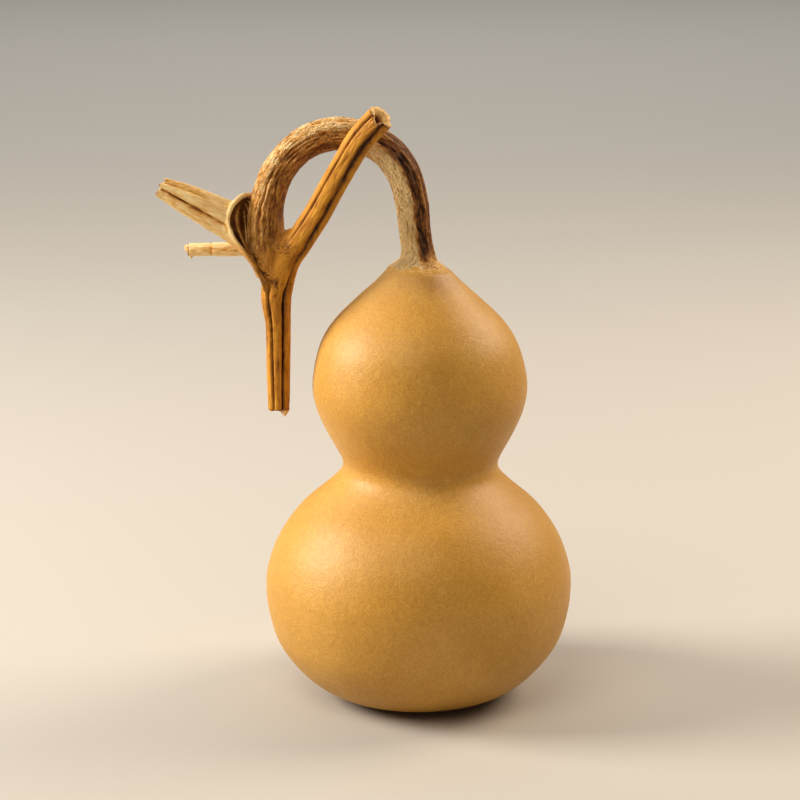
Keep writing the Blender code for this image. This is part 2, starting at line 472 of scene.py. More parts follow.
def addFibres(piece, measured, settings, splits, seed):
    # Dry fibres: long creases pressed into the surface, deepest in the furrows. Returns how furrowed each
    # point is, and where it lies on the limb laid straight.
    dark = furrowSettings
    creases, swells = settings["crease"], settings["swell"]
    places = np.column_stack([measured["round"], measured["along"]])
    crease = np.exp(-(fibreNoise(places, *creases["size"], seed) / creases["thin"]) ** 2)
    swell = fibreNoise(places, *swells["size"], seed + 5)
    valley = np.clip((1.0 - measured["share"]) / settings["valleyShare"], 0, 1)
    strength = settings["onRibs"] + (1 - settings["onRibs"]) * valley
    fibres = crease * strength * creases["depth"] + swell * swells["depth"]
    sink = (fibres * settings.get("keep", 1.0) + splits) * fade(measured["depth"], *dark["outside"])
    setPoints(piece, pointsOf(piece) - measured["outward"] * (sink * mm)[:, None])
    furrow = dark["valley"] * valley + dark["crease"] * crease * strength
    furrow += dark["swell"] * swell + dark["split"] * splits
    return np.clip(furrow, 0, 1), places


tornSettings = {
    "lip": (-0.7, 0.3),         # mm past the end where the torn lip starts and is whole
    "wall": (0.88, 0.80),       # depth where the hollow's wall starts and is whole
    "hollow": 9.0,              # mm that the hollow goes back
    "paleWall": (-2.4, -0.4),   # mm past the end where the wall starts to be pale and is
}


def tornValues(depth, pastEnd):
    # 0 on bark, 1 on the pale torn lip, falling to 0.5 on the brown wall of the hollow
    wall = fade(depth, *tornSettings["wall"]) * (pastEnd > -tornSettings["hollow"] * mm)
    pale = 0.5 + 0.5 * fadeMm(pastEnd, tornSettings["paleWall"])
    return np.maximum(fadeMm(pastEnd, tornSettings["lip"]), wall * pale)


stalkSettings = {
    "sides": 72,
    "spacing": 1.0,
    # x, y, z and half width in mm, from the foot on the crown to the joint with the vine
    "route": (
        (-0.4, 0.0, 143.2, 9.4), (-0.4, 0.0, 144.6, 10.2), (-0.4, 0.0, 145.4, 10.4), (-0.4, 0.0, 146.1, 9.9),
        (-0.4, 0.0, 146.9, 8.7), (-0.4, 0.0, 147.9, 7.3), (-0.4, 0.0, 149.4, 6.1), (-0.5, 0.0, 151.8, 5.4),
        (-0.9, 0.0, 154.8, 5.25), (-1.5, 0.0, 160.0, 5.35), (-2.4, 0.0, 167.5, 5.6),
        (-5.8, 0.0, 178.6, 5.65), (-13.2, 0.0, 186.7, 5.5), (-25.0, 0.0, 190.3, 5.4),
        (-36.2, 0.0, 187.8, 5.45), (-45.2, 0.0, 179.2, 5.5), (-49.6, 0.0, 167.5, 5.75),
        (-50.2, 0.0, 157.5, 6.2), (-49.6, 0.0, 149.5, 5.9), (-48.6, 0.0, 143.5, 4.9),
    ),
    # share of length, then (degrees, share of half width); plus is the inner side of the arch
    "sections": (
        (0.00, ((-180, 0.99), (-144, 1.01), (-108, 0.99), (-72, 1.01), (-36, 0.98), (0, 1.01), (36, 0.99),
                (72, 1.01), (108, 0.99), (144, 1.01))),
        (0.06, ((-180, .97), (-160, 1.01), (-135, .93), (-112, 1.0), (-90, 1.01), (-72, .96), (-54, 1.0),
                (-40, .94), (-26, .92), (-13, .94), (-4, 1.05), (8, 1.02), (35, 1.0), (62, 1.0), (78, 1.0),
                (98, .95), (125, 1.01), (150, .94), (165, .95))),
        (0.34, ((-180, .97), (-160, 1.01), (-135, .92), (-112, 1.0), (-90, 1.01), (-72, .95), (-54, 1.0),
                (-40, .93), (-26, .91), (-13, .93), (-4, 1.05), (8, 1.02), (35, 1.0), (62, 1.0), (78, 1.0),
                (98, .94), (125, 1.01), (150, .94), (165, .95))),
        (0.55, ((-180, .97), (-150, .93), (-125, 1.01), (-95, 1.0), (-60, 1.01), (-32, 1.02), (-20, .99),
                (-14, .92), (-7, .97), (0, .91), (5, .96), (9, .92), (20, 1.0), (35, .97), (60, 1.0),
                (85, 1.0), (110, .94), (140, 1.0), (160, .95))),
        (0.84, ((-180, .98), (-150, .95), (-120, 1.0), (-85, 1.0), (-50, 1.02), (-28, 1.0), (-18, .94),
                (-8, 1.0), (2, .95), (10, .99), (16, .93), (28, 1.0), (50, 1.0), (75, 1.0), (100, .95),
                (130, 1.0), (160, .96))),
        (1.00, ((-180, 1.0), (0, 1.0))),
    ),
    # long splits: width in degrees, depth in mm, how broken, and its line as share of length and degrees
    "splits": (
        (5, 0.25, 0.9, ((0.10, -2), (0.36, -4), (0.55, -14), (0.84, -18), (0.93, -20))),
        (5, 0.3, 0.9, ((0.10, -22), (0.36, -22), (0.55, 0), (0.84, 0), (0.90, 0))),
        (4, 0.35, 0.9, ((0.11, -42), (0.36, -38), (0.55, 9), (0.84, 16), (0.92, 18))),
        (4, 0.35, 0.9, ((0.11, -62), (0.4, -58), (0.6, -64))),
        (5, 0.4, 0.8, ((0.12, 150), (0.5, 160), (0.85, 156))),
        (5, 0.4, 0.8, ((0.12, -140), (0.5, -150), (0.85, -146))),
        (4, 0.3, 0.9, ((0.12, 100), (0.5, 108), (0.85, 100))),
    ),
}

vineSettings = {
    "sides": 72,
    "spacing": 1.2,
    # from the lower cut, past the joint, to the upper cut
    "route": (
        (-46.6, 0.0, 98.2, 3.7), (-46.6, 0.0, 105.0, 3.9), (-46.6, 0.0, 113.0, 4.1),
        (-46.6, 0.0, 127.0, 4.4), (-46.9, 0.0, 138.0, 5.3), (-44.3, -1.0, 148.2, 5.2),
        (-38.9, -3.5, 155.9, 4.6), (-32.8, -7.0, 165.8, 4.4), (-26.1, -11.2, 178.3, 4.3),
        (-19.0, -15.3, 190.5, 4.4), (-12.2, -18.0, 198.2, 4.6),
    ),
    # plus is the left side of the lower stub and the upper left side of the upper one
    "sections": (
        (0.00, ((-180, .95), (-140, 1.0), (-110, .82), (-80, 1.0), (-45, .98), (-33, .95), (-26, .66),
                (-18, 1.0), (5, 1.0), (22, .96), (28, .78), (36, 1.02), (70, 1.0), (110, .85), (145, 1.0))),
        (0.30, ((-180, .95), (-140, 1.0), (-110, .86), (-80, 1.0), (-48, 1.0), (-38, .95), (-30, .66),
                (-21, 1.0), (5, 1.02), (20, .97), (27, .82), (36, 1.02), (70, 1.0), (110, .88), (145, 1.0))),
        (0.44, ((-180, 1.0), (-120, .95), (-95, 1.0), (-68, 1.02), (-60, .92), (-52, .70), (-42, 1.0),
                (0, 1.0), (60, 1.0), (120, .95), (150, 1.0))),
        (0.60, ((-180, .96), (-150, 1.0), (-115, .86), (-85, 1.0), (-62, 1.02), (-48, .86), (-36, .66),
                (-20, .88), (-10, 1.02), (20, .97), (38, .98), (43, .88), (50, .98), (85, 1.0),
                (120, .88), (150, 1.0))),
        (1.00, ((-180, .95), (-150, 1.02), (-115, .80), (-85, 1.0), (-60, 1.03), (-46, .86), (-30, .64),
                (-15, .80), (-8, 1.03), (20, .93), (37, .97), (41, .78), (49, .98), (85, 1.0),
                (120, .85), (150, 1.0))),
    ),
    "splits": (
        (6, 1.0, 0.1, ((0.0, -27), (0.3, -30), (0.44, -48))),
        (5, 0.7, 0.2, ((0.44, -48), (0.6, -42), (1.0, -38))),
        (6, 0.3, 0.7, ((0.62, -24), (0.8, -22), (1.0, -20))),
        (4.5, 0.6, 0.1, ((0.0, 26), (0.2, 27), (0.38, 34))),
        (3.5, 0.3, 0.3, ((0.0, -6), (0.14, -5))),
        (4.5, 0.5, 0.1, ((0.56, 44), (0.75, 42), (1.0, 41))),
        (6, 0.7, 0.2, ((0.0, -112), (0.4, -118), (1.0, -114))),
        (6, 0.6, 0.2, ((0.0, 112), (0.4, 118), (1.0, 120))),
        (4, 0.3, 0.5, ((0.0, 178), (0.4, 172), (1.0, 178))),
    ),
    # the hollow pith: share of half width, mm past the end, share of the lip's raggedness
    "startCut": {
        "lip": ((-180, 0.4), (-110, 0.2), (-60, 1.0), (-42, 1.9), (-30, 0.9), (-10, -0.2), (40, -0.1),
                (90, 0.1)),
        "ragged": 0.55,
        "wall": ((1.0, 0.05, 1.0), (0.93, 0.25, 1.0), (0.56, 0.05, 0.8), (0.42, -0.5, 0.4),
                 (0.36, -3.0, 0.0), (0.32, -6.0, 0.0), (0.12, -6.6, 0.0)),
    },
    "endCut": {
        "lip": ((-180, 0.9), (-120, 0.5), (-90, 0.2), (-60, 0.4), (-35, -0.9), (-10, -2.3), (20, -1.6),
                (45, -0.6), (90, 0.3), (140, 0.5)),
        "ragged": 0.75,
        "wall": ((1.0, 0.05, 1.0), (0.93, 0.25, 1.0), (0.62, 0.10, 0.9), (0.46, -0.7, 0.5),
                 (0.38, -2.4, 0.0), (0.34, -7.0, 0.0), (0.12, -7.6, 0.0)),
    },
}

# fills the fork between the stalk and the upper stub
saddleSettings = {
    "sides": 40,
    "spacing": 1.0,
    "route": ((-50.2, -0.4, 161.0, 3.6), (-47.6, -0.8, 155.6, 5.0), (-43.6, -1.6, 153.4, 5.0),
              (-39.6, -3.0, 157.4, 3.6)),
}

stemSettings = {
    "voxel": 0.345,              # mm
    "smoothing": 2,              # rounds after remeshing
    "jointSmoothing": 24,        # rounds where the two limbs meet
    "jointReach": (1.9, 0.5),    # depth where the joint starts, and over how much it fills
    "jointCalm": (0.7, 0.6),     # how much fibres and furrows give way there
    "vineCalm": 0.5,             # how much the stalk's kind of fibres gives way on the vine
    "endReach": 3.0,             # mm past the stalk's end that count like its own half width
    "footTilt": (151.0, 146.5),  # mm above the ground where the foot starts to lean with the crown and does
    "footWidth": 14.0,           # mm from the gourd's axis
    "vineEdge": (-0.25, 0.25),   # depth on the stalk less depth on the vine, where the vine takes over
    "vineHue": (-2.2, 0.4),      # the same for its colour
    "vineGrooveShade": 0.40,         # how much of the vine's grooves counts as furrow, darkening them with their own brown and painted shade
    "palest": -0.4,
    # one side is painted browner as shade, on the side turned from the key light: outside by the foot,
    # inside over the arch, where it is also browner in itself. Share of length, then which side it is, where
    # it starts, where it is full, and how brown
    "brownAndShadedSide": ((0.0, -1.0, 0.0, 0.2, 0.38), (0.36, -1.0, 0.0, 0.25, 0.38), (0.50, 1.0, -0.1, 0.5, 0.30),
                  (1.0, 1.0, -0.15, 0.55, 0.28)),
    # share of length, how pale the other side is: painted light on the side facing the key light
    "litSide": ((0.36, 0.16), (0.5, 0.0), (0.8, -0.08), (1.0, -0.08)),
    "paleFoot": (9.0, 4.0),      # mm from the start where the foot starts to be pale and is
    "footPale": (0.6, 0.2),      # how much the furrows give way there, and how pale it is
    "skinFoot": (5.0, 3.2),      # mm from the start where the gourd's skin ends and is whole
    "skinRagged": (2.2, 1.6, 2.5),   # how ragged that edge is: mm deep, mm round, mm along
    "darkSpotRagged": (0.7, 0.9),   # mm between the notches of a dark spot's edge, and their depth as a share
    "darkSpotCore": 0.2,            # share of a dark spot's radius that is full
    # dark spots: x, y, z, radius in mm, strength. The broad one on the lower stub is weathering; the small
    # ones are painted shade in the pit, the fork and the crevice along the collar's rim
    "darkSpots": ((-46.8, -2.0, 130.0, 15.0, 0.2), (-47.4, -5.5, 142.1, 2.6, 0.45),
               (-42.6, -5.0, 153.6, 3.6, 0.5), (-53.6, -4.0, 149.5, 2.4, 0.6),
               (-51.5, -4.5, 145.0, 2.2, 0.7), (-41.9, 0.0, 158.3, 2.4, 0.5)),
    "fibres": {
        "crease": {"size": (1.2, 5.5), "thin": 0.17, "depth": 0.45},  # mm round and along, mm deep
        "swell": {"size": (2.6, 12.0), "depth": 0.25},
        "valleyShare": 0.16,
        "onRibs": 0.42,
    },
}


def measureStem(stalk, vine, points):
    onStalk, onVine = measureOnLimb(stalk, points), measureOnLimb(vine, points)
    fromStalk = onStalk["depth"] + np.maximum(onStalk["pastEnd"], 0) / (stemSettings["endReach"] * mm)
    return onStalk, onVine, fromStalk


def shapeStem(settings, stalk, vine):
    # Stalk and vine grown together, with a smooth joint; also tells how much each point belongs to the joint
    stem = joinPieces([growRings("stem", limbRings(stalk, stalkSettings)),
                       growRings("vine", limbRings(vine, vineSettings)),
                       growRings("saddle", limbRings(layLimb(saddleSettings), saddleSettings))])
    stem = fuseLimb(stem, settings["voxel"])
    points = pointsOf(stem)
    inFoot = np.hypot(points[:, 0], points[:, 1]) < settings["footWidth"] * mm
    tilt = gourdSettings["crownTilt"] * fadeMm(points[:, 2], settings["footTilt"])
    points[:, 2] -= tilt * points[:, 0] * inFoot
    setPoints(stem, points)
    onVine, fromStalk = measureStem(stalk, vine, points)[1:]
    reach, edge = settings["jointReach"]
    both = fade(reach - fromStalk, 0.0, edge) * fade(reach - onVine["depth"], 0.0, edge)
    joint = stem.vertex_groups.new(name="joint")
    for index in np.nonzero(both > 0.02)[0]:
        joint.add([int(index)], float(both[index]), "REPLACE")
    applyModifier(stem, "SMOOTH", factor=0.5, iterations=settings["jointSmoothing"], vertex_group="joint")
    applyModifier(stem, "SMOOTH", factor=0.5, iterations=settings["smoothing"])
    return stem, both


def weatherAndShadeStem(settings, furrow, points, onStalk, vineShare, both):
    # A side painted browner as shade (over the arch also brown in itself), the other side painted paler as
    # light, a pale foot, and dark spots with ragged edges, some of them painted shade
    along = onStalk["along"] / onStalk["length"]
    shares, *columns = zip(*settings["brownAndShadedSide"])
    side, starts, full, sideShade = (np.interp(along, shares, column) for column in columns)
    brownAndShadedPart = fade(side * np.sin(np.radians(onStalk["degrees"])), starts, full)
    litPaleness = np.interp(along, *zip(*settings["litSide"]))
    # painted shade on the side turned from the key light, painted light on the side facing it
    sideShade = (sideShade * brownAndShadedPart - litPaleness * (1 - brownAndShadedPart)) * (1 - vineShare)
    foot = fadeMm(onStalk["along"], settings["paleFoot"]) * (1 - vineShare)
    calm, pale = settings["footPale"]
    furrow = (furrow * (1 - settings["jointCalm"][1] * both) + sideShade) * (1 - calm * foot) - pale * foot
    furrow = np.clip(furrow, settings["palest"], 1)
    notch, raggedness = settings["darkSpotRagged"]
    ragged = 1 + raggedness * np.array([noise.noise(point) for point in points / (notch * mm)])
    # dark spots: the broad patch is weathering, the small ones painted shade in the fork, the pit and along
    # the collar's rim
    for x, y, z, size, strength in settings["darkSpots"]:
        away = np.linalg.norm(points - np.array([x, y, z]) * mm, axis=1) * ragged
        darkSpot = strength * fadeMm(away, (size, settings["darkSpotCore"] * size))
        furrow = np.clip(furrow + darkSpot, settings["palest"], 1)
    return furrow


def makeStem(settings):
    stalk, vine = layLimb(stalkSettings), layLimb(vineSettings)
    stem, both = shapeStem(settings, stalk, vine)
    points = pointsOf(stem)
    onStalk, onVine, fromStalk = measureStem(stalk, vine, points)
    vineShare = fade(fromStalk - onVine["depth"], *settings["vineEdge"])
    # the vine's grooves are darkened partly as painted shade
    onVine["share"] = 1 - (1 - onVine["share"]) * settings["vineGrooveShade"]
    blended = {}
    for key in ("along", "round", "share", "depth", "outward"):
        weight = vineShare if onVine[key].ndim == 1 else vineShare[:, None]
        blended[key] = onStalk[key] * (1 - weight) + onVine[key] * weight
    calm = (1 - settings["jointCalm"][0] * both) * (1 - settings["vineCalm"] * vineShare)
    splits = (pressSplits(onStalk, stalkSettings["splits"]) * (1 - vineShare)
              + pressSplits(onVine, vineSettings["splits"]) * vineShare)
    furrow, places = addFibres(stem, blended, dict(settings["fibres"], keep=calm), splits, 3.0)
    furrow = weatherAndShadeStem(settings, furrow, points, onStalk, vineShare, both)
    deep, wide, long = settings["skinRagged"]
    skinEdge = onStalk["along"] + deep * mm * fibreNoise(places, wide, long, 31.0)
    hue = np.maximum(vineShare, fade(fromStalk - onVine["depth"], *settings["vineHue"]))
    storeValues(stem, "skin", fadeMm(skinEdge, settings["skinFoot"]) * (1 - vineShare))
    storeValues(stem, "fibre", places)
    storeValues(stem, "furrow", furrow)
    storeValues(stem, "vineShare", hue)
    storeValues(stem, "torn", tornValues(onVine["depth"], onVine["pastEnd"]) * (onVine["depth"] < fromStalk))
    stem.data.shade_smooth()
    return stem


leafStalkSettings = {
    "sides": 72,
    "spacing": 1.0,
    "flatness": 0.55,
    # from the broken tip to where it opens round the joint
    "route": (
        (-84.9, -2.0, 173.5, 3.3), (-81.5, -2.0, 172.0, 3.9), (-77.2, -2.0, 169.9, 4.75),
        (-70.5, -2.0, 166.6, 5.6), (-66.8, -2.0, 164.6, 6.0),
    ),
    # plus is the upper side
    "sections": (
        (0.0, ((-180, .95), (-140, 1.05), (-105, .96), (-90, 1.0), (-60, 1.05), (-26, 1.04), (-14, .90),
               (-8, .76), (-2, .92), (8, 1.09), (24, 1.04), (42, .88), (60, .90), (78, 1.0), (90, 1.0),
               (115, .9), (150, 1.04))),
        (0.6, ((-180, .95), (-140, 1.05), (-105, .96), (-90, 1.0), (-60, 1.05), (-34, 1.03), (-22, .88),
               (-13, .80), (-4, .92), (10, 1.09), (30, 1.05), (46, .89), (62, .92), (78, 1.0), (90, 1.0),
               (115, .9), (150, 1.04))),
        (1.0, ((-180, .97), (-140, 1.02), (-105, .98), (-90, 1.0), (-60, 1.0), (-40, 1.0), (-24, .92),
               (-12, .88), (0, .96), (12, 1.04), (30, 1.02), (46, .92), (62, .94), (76, 1.0), (90, 1.0),
               (115, .95), (150, 1.02))),
    ),
    "startCut": {
        "lip": ((-180, -1.6), (-130, -1.0), (-90, -0.7), (-50, -0.3), (-22, -0.7), (-8, -2.2), (4, -0.6),
                (16, 0.2), (28, -0.8), (42, -3.2), (60, -2.8), (80, -2.2), (110, -2.6), (150, -2.2)),
        "ragged": 0.45,
        "wall": ((1.0, 0.0, 1.0), (0.92, 0.2, 1.0), (0.66, -0.1, 0.9), (0.46, -0.9, 0.5), (0.36, -2.6, 0.0),
                 (0.12, -3.2, 0.0)),
    },
    "splits": (
        (6, 0.5, 0.2, ((0.0, -7), (0.35, -9), (0.6, -14), (1.0, -15))),
        (7, 0.28, 0.5, ((0.0, 40), (0.4, 44), (0.8, 46))),
        (3, 0.16, 0.6, ((0.1, -50), (0.9, -52))),
        (6, 0.4, 0.4, ((0.0, 160), (0.9, 165))),
    ),
    # the rim of the open root: degrees, then x, y, z in mm; its far side lies inside the joint
    "rim": (
        (-180, -51.5, 4.8, 158.0), (-150, -50.6, 3.0, 150.5), (-120, -49.6, -1.0, 143.0),
        (-98, -50.4, -4.4, 138.0), (-83, -52.3, -5.3, 144.0), (-66, -54.8, -5.9, 149.0),
        (-48, -57.8, -6.3, 153.1), (-30, -60.5, -6.2, 156.4), (-14, -61.9, -5.8, 159.3),
        (6, -62.7, -5.4, 162.6), (28, -61.8, -4.8, 166.4), (48, -59.6, -3.4, 169.5),
        (66, -57.4, -1.5, 170.8), (90, -55.2, 0.5, 171.1), (118, -53.5, 3.0, 169.0),
        (150, -52.5, 4.6, 164.5), (180, -51.5, 4.8, 158.0),
    ),
    "rimPieces": 8,       # points between two of the rim's
    "flareRings": 8,
    "flareReach": ((-180, 0.80), (-120, 0.66), (-80, 0.68), (-30, 0.85), (90, 0.92)),
    "rimWall": 1.2,       # mm thick
    "cupDepth": 5,        # flare rings that the hollow goes back
    "cupFloor": 0.25,     # its floor's size as a share of its last ring
    "cupEdge": (-0.1, 0.3),     # mm nearer to the hollow than to the outside: its painted shade starts, is full
    "ribsEnd": (4.0, 8.0),      # mm past the last ring where the ribs are gone, and over how much they go
    # how much painted shade darkens the hollow, and how much of the furrows the inner lip and the rim lose
    "cupShade": 0.85,
    "onLip": 0.4,
    "onBead": 0.9,
    "beadReach": (1.5, 1.0),    # depth on the lip and the rim where that starts and is full
    "lowRim": (160, 146),       # mm above the ground where the rim turns brown and is
    "lowBrown": 0.42,
    "vineHue": (0.15, 0.6),     # share of the vine's colour, and what the low rim adds
    "voxel": 0.28,              # mm
    "smoothing": 2,
    # the rounded rim, and a thin inner lip that stands in the opening: x, y, z and half width
    "rimBead": {
        "sides": 16,
        "spacing": 0.7,
        "route": (
            (-54.6, 1.2, 170.2, 0.6), (-57.2, -1.4, 170.4, 0.75), (-59.4, -3.2, 169.0, 0.8),
            (-61.4, -4.6, 166.1, 0.75), (-62.1, -5.2, 162.5, 0.6), (-61.4, -5.6, 159.4, 0.55),
            (-60.1, -5.9, 156.6, 0.55), (-57.5, -6.0, 153.3, 0.55), (-54.6, -5.6, 149.1, 0.6),
            (-52.4, -5.1, 145.1, 0.62), (-50.9, -4.5, 141.2, 0.5), (-50.1, -4.1, 138.8, 0.3),
        ),
    },
    "innerLip": {
        "sides": 16,
        "spacing": 0.7,
        "flatness": 3.2,
        "route": (
            (-58.2, 1.0, 168.4, 0.45), (-59.4, -0.2, 164.5, 0.55), (-59.4, -1.3, 161.0, 0.55),
            (-58.6, -2.0, 158.0, 0.55), (-56.6, -2.6, 153.6, 0.55), (-53.9, -3.2, 149.2, 0.5),
            (-51.5, -3.8, 144.9, 0.45), (-49.4, -4.0, 141.2, 0.4),
        ),
    },
    "fibres": {
        "crease": {"size": (0.95, 8.0), "thin": 0.16, "depth": 0.16},
        "swell": {"size": (2.2, 12.0), "depth": 0.12},
        "valleyShare": 0.36,
        "onRibs": 0.35,
    },
}


def flareRings(settings, limb, last):
    # From the last ring, along the limb and out to the rim, then down the inside to the hollow's floor
    rim = smoothRows(settings["rim"], settings["rimPieces"])
    edge = np.column_stack([np.interp(limb["degrees"], rim[:, 0], column) for column in rim[:, 1:].T]) * mm
    ahead = limb["tangent"][-1]
    reach = np.interp(limb["degrees"], *zip(*settings["flareReach"]), period=360)
    turnAt = last + np.outer(np.maximum(rowDot(edge - last, ahead), 0) * reach, ahead)
    flare = []
    for t in np.linspace(0, 1, settings["flareRings"] + 1)[1:]:
        flare.append(last * (1 - t) ** 2 + turnAt * 2 * t * (1 - t) + edge * t**2)
    inner = []
    for ring in flare[::-1][:settings["cupDepth"]]:
        inner.append(ring + unitRows(ring.mean(axis=0) - ring) * settings["rimWall"] * mm)
    middle = inner[-1].mean(axis=0)
    inner.append(middle + (inner[-1] - middle) * settings["cupFloor"])
    return flare, inner


def makeLeafStalk(settings):
    limb, innerLip, rimBead = layLimb(settings), layLimb(settings["innerLip"]), layLimb(settings["rimBead"])
    rings = limbRings(limb, settings)
    flare, inner = flareRings(settings, limb, rings[-1])
    piece = joinPieces([growRings("leafStalk", rings + flare + inner),
                        growRings("innerLip", limbRings(innerLip, settings["innerLip"])),
                        growRings("rimBead", limbRings(rimBead, settings["rimBead"]))])
    piece = fuseLimb(piece, settings["voxel"])
    applyModifier(piece, "SMOOTH", factor=0.5, iterations=settings["smoothing"])
    points = pointsOf(piece)
    measured = measureOnLimb(limb, points)
    past, over = (edge * mm for edge in settings["ribsEnd"])
    ribs = fade(measured["length"] + past - measured["along"], 0, over)
    measured["share"] = 1 - (1 - measured["share"]) * ribs
    measured["depth"] = np.maximum(measured["depth"], measured["along"] > measured["length"])
    splits = pressSplits(measured, settings["splits"])
    furrow, places = addFibres(piece, measured, settings["fibres"], splits, 11.0)
    cupShade = fadeMm(nearestRow(flare[2:], points) - nearestRow(inner, points), settings["cupEdge"])
    onLip = fade(measureOnLimb(innerLip, points)["depth"], *settings["beadReach"])
    onBead = fade(measureOnLimb(rimBead, points)["depth"], *settings["beadReach"])
    low = fadeMm(points[:, 2], settings["lowRim"])
    # painted shade in the hollow of the open root
    furrow = np.maximum(furrow, settings["cupShade"] * cupShade)
    furrow *= (1 - settings["onLip"] * onLip) * (1 - settings["onBead"] * onBead)
    furrow = np.clip(np.maximum(furrow, settings["lowBrown"] * low), 0, 1)
    hue, addedHue = settings["vineHue"]
    storeValues(piece, "fibre", places)
    storeValues(piece, "furrow", furrow)
    storeValues(piece, "vineShare", hue + addedHue * low)
    storeValues(piece, "torn", tornValues(measured["depth"], -measured["along"]))
    piece.data.shade_smooth()
    return piece


sideShootSettings = {
    "sides": 40,
    "spacing": 0.7,
    # from the torn tip to the joint; the pinch is a scar where a bract fell, and plus is the upper side
    "route": (
        (-76.3, 3.0, 151.5, 1.9), (-75.0, 3.0, 151.5, 2.15), (-71.0, 3.0, 151.6, 2.2),
        (-69.2, 3.0, 151.6, 2.15), (-68.4, 2.95, 151.6, 2.02), (-67.4, 2.9, 151.6, 2.3),
        (-64.0, 2.8, 151.7, 2.35), (-60.0, 2.6, 151.7, 2.3), (-52.0, 1.6, 151.8, 2.3),
    ),
    "sections": (
        (0.0, ((-180, 1.0), (-100, .97), (-60, 1.0), (-20, 1.0), (10, .93), (40, 1.0), (90, 1.0),
               (140, .95))),
        (1.0, ((-180, 1.0), (-120, .95), (-70, 1.0), (-30, 1.0), (0, .94), (35, 1.0), (90, 1.0),
               (130, .96))),
    ),
    "startCut": {
        "lip": ((-180, -0.4), (-90, -1.2), (-60, -1.0), (0, 0.3), (60, 0.5), (100, 0.2), (140, -0.3)),
        "ragged": 0.35,
        "wall": ((0.86, 0.3, 1.0), (0.62, 0.45, 1.0), (0.36, 0.1, 0.8), (0.2, -0.5, 0.0), (0.08, -0.6, 0.0)),
    },
    "barb": {
        "sides": 12,
        "spacing": 0.4,
        "route": ((-74.4, 2.6, 150.6, 0.6), (-74.9, 2.4, 149.4, 0.42), (-75.1, 2.3, 148.4, 0.12)),
    },
    "voxel": 0.2,            # mm
    "smoothing": 2,
    "furrows": 0.6,          # how much of them shows
    "scar": (8.0, 0.5),      # mm from the tip, mm wide
    "scarDark": 0.45,
    "tornTip": 0.8,          # mm
    "fibres": {
        "crease": {"size": (0.9, 6.0), "thin": 0.14, "depth": 0.08},
        "swell": {"size": (2.0, 8.0), "depth": 0.12},
        "valleyShare": 0.14,
        "onRibs": 0.5,
    },
}


def makeSideShoot(settings):
    limb, barb = layLimb(settings), layLimb(settings["barb"])
    piece = joinPieces([growRings("sideShoot", limbRings(limb, settings)),
                        growRings("barb", limbRings(barb, settings["barb"]))])
    piece = fuseLimb(piece, settings["voxel"])
    applyModifier(piece, "SMOOTH", factor=0.5, iterations=settings["smoothing"])
    measured = measureOnLimb(limb, pointsOf(piece))
    furrow, places = addFibres(piece, measured, settings["fibres"], 0.0, 23.0)
    scarAt, scarWidth = (size * mm for size in settings["scar"])
    scar = np.exp(-((measured["along"] - scarAt) / scarWidth) ** 2)
    storeValues(piece, "fibre", places)
    storeValues(piece, "furrow", np.clip(furrow * settings["furrows"] + settings["scarDark"] * scar, 0, 1))
    storeValues(piece, "vineShare", 0 * furrow)
    storeValues(piece, "torn", fadeMm(measured["along"], (settings["tornTip"], 0.0)))
    piece.data.shade_smooth()
    return piece


barkSettings = {
    # from rubbed crest to furrow
    "stalk": ((0.05, "#F9D596"), (0.3, "#D39544"), (0.62, "#8E5316"), (1.0, "#351A05")),
    "vine": ((0.0, "#D4962E"), (0.35, "#AE7016"), (0.7, "#6A3B08"), (1.0, "#2A1503")),
    "torn": ((0.35, "#F8D694"), (0.7, "#D89E54")),
    "pith": "#7E421A",
    "skin": "#CB9A48",
    # marks in each mm: 1 mm wrinkles, 0.45 mm grain, 6 mm weathering
    "wrinkles": 1.0,
    "grain": 2.2,
    "weathering": 0.16,
    # on the stalk, then on the vine
    "shortness": (0.42, 0.16),    # a mark's width over its length
    "unevenness": (0.75, 0.42),   # how much the wrinkles change the shade
    "relief": (1.0, 0.25),
    "skinRelief": 0.15,
    "cloudiness": 0.55,           # how much the weathering changes the shade
    "darkness": 0.1,              # added to every shade
    "grainDepth": 1.2,            # mm
    "wrinkleDepth": 1.8,          # mm
    "roughness": 0.55,
    "specular": 0.3,
    "ior": 1.46,
}
# paler bark for the leaf stalk and the shoot: partly their own paler tone, partly painted light
leafStalkPaleLitBark = dict(barkSettings, relief=(0.35, 0.25),
                     stalk=((0.05, "#FFE4A8"), (0.38, "#EEBA68"), (0.7, "#A4641E"), (1.0, "#54300E")))


